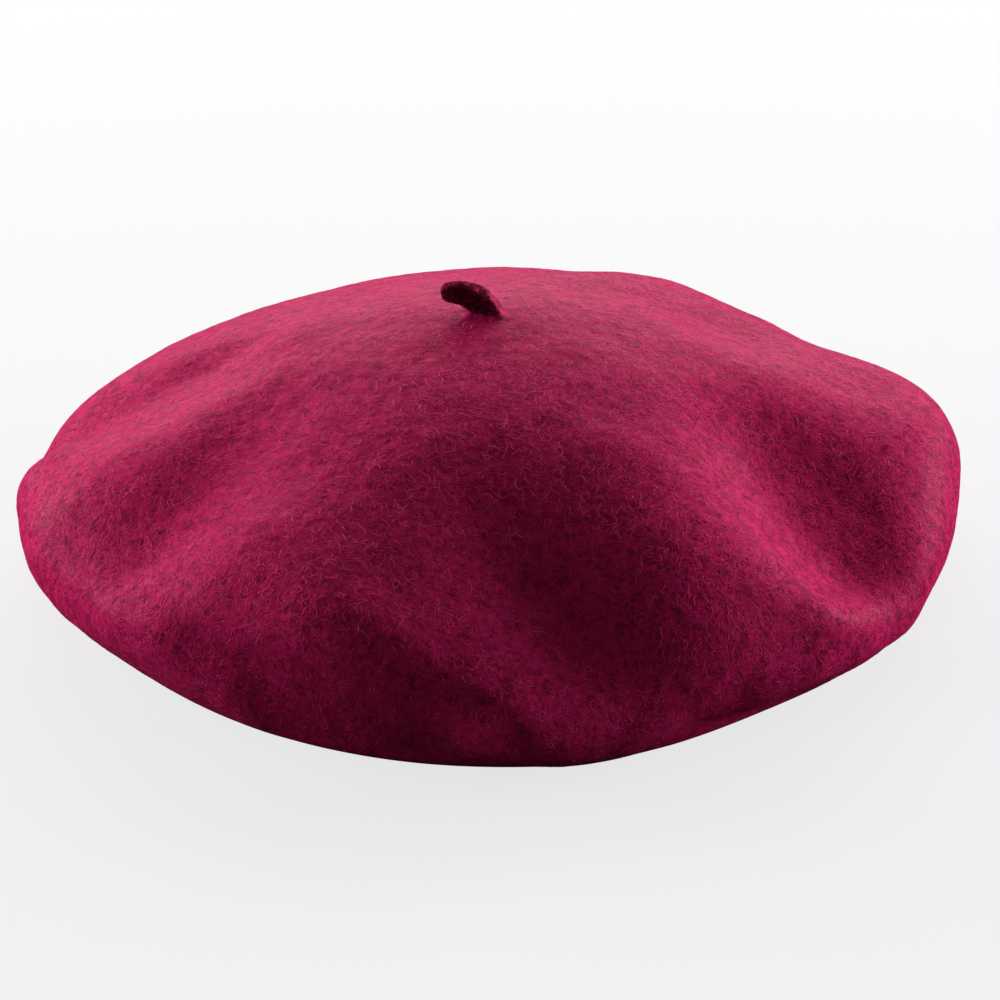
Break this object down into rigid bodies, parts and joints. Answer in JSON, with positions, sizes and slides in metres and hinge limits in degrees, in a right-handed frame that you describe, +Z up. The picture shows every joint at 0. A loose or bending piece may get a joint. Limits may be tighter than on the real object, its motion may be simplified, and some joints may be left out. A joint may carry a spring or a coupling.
{
  "type": "beret",
  "caption": "Soft round wool felt beret with a curled stalk, leather sweatband, drawstring and satin lining, slumped on a table.",
  "frame": {"origin": "centre of the head opening, on the plane that the beret rests on", "axes": "+Z up through the stalk, -Y to the front, the side that the main hollow of the crown faces; +X to the wearer's left when the front faces forward"},
  "size_m": [0.2795, 0.2593, 0.0878],
  "materials": {
    "wool_felt": "fulled wool, matt and hairy",
    "band_leather": "grained, satin",
    "satin_lining": "satin weave, soft gloss",
    "cotton_cord": "twisted cotton, matt",
    "sewing_thread": "polyester thread, slight sheen",
    "woven_label": "woven tape, matt"
  },
  "bodies": {
    "hat": {"felt_body": "wool_felt", "stalk_tack": "sewing_thread", "sweatband": "band_leather", "sweatband_thread": "sewing_thread", "sweatband_join_thread": "sewing_thread", "drawstring_loop": "cotton_cord", "lining_side": "satin_lining", "lining_tip": "satin_lining", "lining_seam_thread": "sewing_thread"},
    "stalk": {"stalk": "wool_felt"},
    "drawstring_bow": {"drawstring_bow": "cotton_cord"},
    "size_label": {"size_label": "woven_label"},
    "care_label": {"care_label": "woven_label"}
  },
  "joints": [
    {"name": "stalk_lean", "type": "hinge", "parent": "hat", "child": "stalk", "pos_m": [-0.002, 0.012, 0.0797], "axis": [0, -1, 0], "range_deg": [-60, 10]},
    {"name": "bow_swing", "type": "hinge", "parent": "hat", "child": "drawstring_bow", "pos_m": [0, 0.08782, 0.014], "axis": [-1, 0, 0], "range_deg": [0, 70]},
    {"name": "size_label_flip", "type": "hinge", "parent": "hat", "child": "size_label", "pos_m": [0.04481, 0.07761, 0.0316], "axis": [-0.866, 0.5, 0], "range_deg": [0, 110]},
    {"name": "care_label_flip", "type": "hinge", "parent": "hat", "child": "care_label", "pos_m": [-0.05122, 0.07315, 0.0316], "axis": [-0.8192, -0.5736, 0], "range_deg": [0, 110]}
  ]
}
